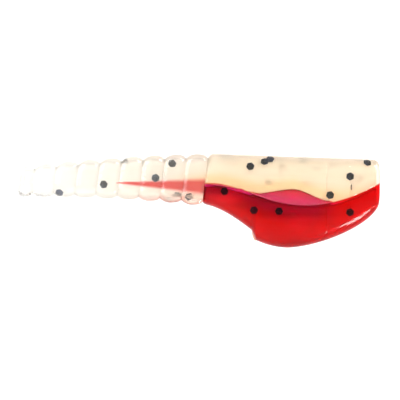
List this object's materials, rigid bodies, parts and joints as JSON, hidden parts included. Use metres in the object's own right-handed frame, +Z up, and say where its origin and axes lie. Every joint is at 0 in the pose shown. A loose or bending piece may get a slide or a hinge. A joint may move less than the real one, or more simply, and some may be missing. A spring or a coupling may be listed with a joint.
{
  "type": "soft plastic fishing lure",
  "caption": "Ribbed soft plastic panfish bait with a flat nose, a deep rounded belly and a tapering beaded tail.",
  "frame": {"origin": "centre of the flat nose face, where the jig head sits", "axes": "+X out of the nose, tail along -X, +Z up through the back, Y across the bait"},
  "size_m": [0.0508, 0.0064, 0.0133],
  "materials": {
    "ivory_plastisol": "translucent gloss",
    "red_plastisol": "translucent gloss",
    "black_glitter": "gloss film"
  },
  "bodies": {
    "fore_body": {"fore_body": "ivory_plastisol", "belly": "red_plastisol", "glitter_back": "black_glitter", "glitter_belly": "black_glitter"},
    "web_9": {"web_9": "ivory_plastisol"},
    "rib_9": {"rib_9": "ivory_plastisol", "streak_9": "red_plastisol", "glitter_rib_9": "black_glitter"},
    "web_8": {"web_8": "ivory_plastisol"},
    "rib_8": {"rib_8": "ivory_plastisol", "streak_8": "red_plastisol", "glitter_rib_8": "black_glitter"},
    "web_7": {"web_7": "ivory_plastisol"},
    "rib_7": {"rib_7": "ivory_plastisol", "streak_7": "red_plastisol", "glitter_rib_7": "black_glitter"},
    "web_6": {"web_6": "ivory_plastisol"},
    "rib_6": {"rib_6": "ivory_plastisol", "streak_6": "red_plastisol", "glitter_rib_6": "black_glitter"},
    "web_5": {"web_5": "ivory_plastisol"},
    "rib_5": {"rib_5": "ivory_plastisol", "glitter_rib_5": "black_glitter"},
    "web_4": {"web_4": "ivory_plastisol"},
    "rib_4": {"rib_4": "ivory_plastisol"},
    "web_3": {"web_3": "ivory_plastisol"},
    "rib_3": {"rib_3": "ivory_plastisol", "glitter_rib_3": "black_glitter"},
    "web_2": {"web_2": "ivory_plastisol"},
    "rib_2": {"rib_2": "ivory_plastisol"},
    "web_1": {"web_1": "ivory_plastisol"},
    "rib_1": {"rib_1": "ivory_plastisol"}
  },
  "joints": [
    {"name": "groove_9_sway", "type": "hinge", "parent": "fore_body", "child": "web_9", "pos_m": [-0.02445, 0, 0], "axis": [0.005, 0, 1], "range_deg": [-12, 12], "stiffness_Nm_per_rad": 0.00343},
    {"name": "groove_9_nod", "type": "hinge", "parent": "web_9", "child": "rib_9", "pos_m": [-0.02445, 0, 0], "axis": [0, 1, 0.005], "range_deg": [-12, 12], "stiffness_Nm_per_rad": 0.00522},
    {"name": "groove_8_sway", "type": "hinge", "parent": "rib_9", "child": "web_8", "pos_m": [-0.02747, 0, 0], "axis": [0.005, 0, 1], "range_deg": [-12, 12], "stiffness_Nm_per_rad": 0.00286},
    {"name": "groove_8_nod", "type": "hinge", "parent": "web_8", "child": "rib_8", "pos_m": [-0.02747, 0, 0], "axis": [0, 1, 0.005], "range_deg": [-12, 12], "stiffness_Nm_per_rad": 0.00432},
    {"name": "groove_7_sway", "type": "hinge", "parent": "rib_8", "child": "web_7", "pos_m": [-0.03049, 0, 0], "axis": [0.005, 0, 1], "range_deg": [-12, 12], "stiffness_Nm_per_rad": 0.00237},
    {"name": "groove_7_nod", "type": "hinge", "parent": "web_7", "child": "rib_7", "pos_m": [-0.03049, 0, 0], "axis": [0, 1, 0.005], "range_deg": [-12, 12], "stiffness_Nm_per_rad": 0.00354},
    {"name": "groove_6_sway", "type": "hinge", "parent": "rib_7", "child": "web_6", "pos_m": [-0.03351, 0, 0], "axis": [0.005, 0, 1], "range_deg": [-12, 12], "stiffness_Nm_per_rad": 0.00195},
    {"name": "groove_6_nod", "type": "hinge", "parent": "web_6", "child": "rib_6", "pos_m": [-0.03351, 0, 0], "axis": [0, 1, 0.005], "range_deg": [-12, 12], "stiffness_Nm_per_rad": 0.00287},
    {"name": "groove_5_sway", "type": "hinge", "parent": "rib_6", "child": "web_5", "pos_m": [-0.03653, 0, 0], "axis": [0.005, 0, 1], "range_deg": [-12, 12], "stiffness_Nm_per_rad": 0.00159},
    {"name": "groove_5_nod", "type": "hinge", "parent": "web_5", "child": "rib_5", "pos_m": [-0.03653, 0, 0], "axis": [0, 1, 0.005], "range_deg": [-12, 12], "stiffness_Nm_per_rad": 0.0023},
    {"name": "groove_4_sway", "type": "hinge", "parent": "rib_5", "child": "web_4", "pos_m": [-0.03955, 0, 0], "axis": [0.005, 0, 1], "range_deg": [-12, 12], "stiffness_Nm_per_rad": 0.00128},
    {"name": "groove_4_nod", "type": "hinge", "parent": "web_4", "child": "rib_4", "pos_m": [-0.03955, 0, 0], "axis": [0, 1, 0.005], "range_deg": [-12, 12], "stiffness_Nm_per_rad": 0.00182},
    {"name": "groove_3_sway", "type": "hinge", "parent": "rib_4", "child": "web_3", "pos_m": [-0.04257, 0, 0], "axis": [0.005, 0, 1], "range_deg": [-12, 12], "stiffness_Nm_per_rad": 0.00101},
    {"name": "groove_3_nod", "type": "hinge", "parent": "web_3", "child": "rib_3", "pos_m": [-0.04257, 0, 0], "axis": [0, 1, 0.005], "range_deg": [-12, 12], "stiffness_Nm_per_rad": 0.00142},
    {"name": "groove_2_sway", "type": "hinge", "parent": "rib_3", "child": "web_2", "pos_m": [-0.04559, 0, 0], "axis": [0.005, 0, 1], "range_deg": [-12, 12], "stiffness_Nm_per_rad": 0.000792},
    {"name": "groove_2_nod", "type": "hinge", "parent": "web_2", "child": "rib_2", "pos_m": [-0.04559, 0, 0], "axis": [0, 1, 0.005], "range_deg": [-12, 12], "stiffness_Nm_per_rad": 0.00109},
    {"name": "groove_1_sway", "type": "hinge", "parent": "rib_2", "child": "web_1", "pos_m": [-0.04861, 0, 0], "axis": [0.005, 0, 1], "range_deg": [-12, 12], "stiffness_Nm_per_rad": 0.00061},
    {"name": "groove_1_nod", "type": "hinge", "parent": "web_1", "child": "rib_1", "pos_m": [-0.04861, 0, 0], "axis": [0, 1, 0.005], "range_deg": [-12, 12], "stiffness_Nm_per_rad": 0.000823}
  ]
}
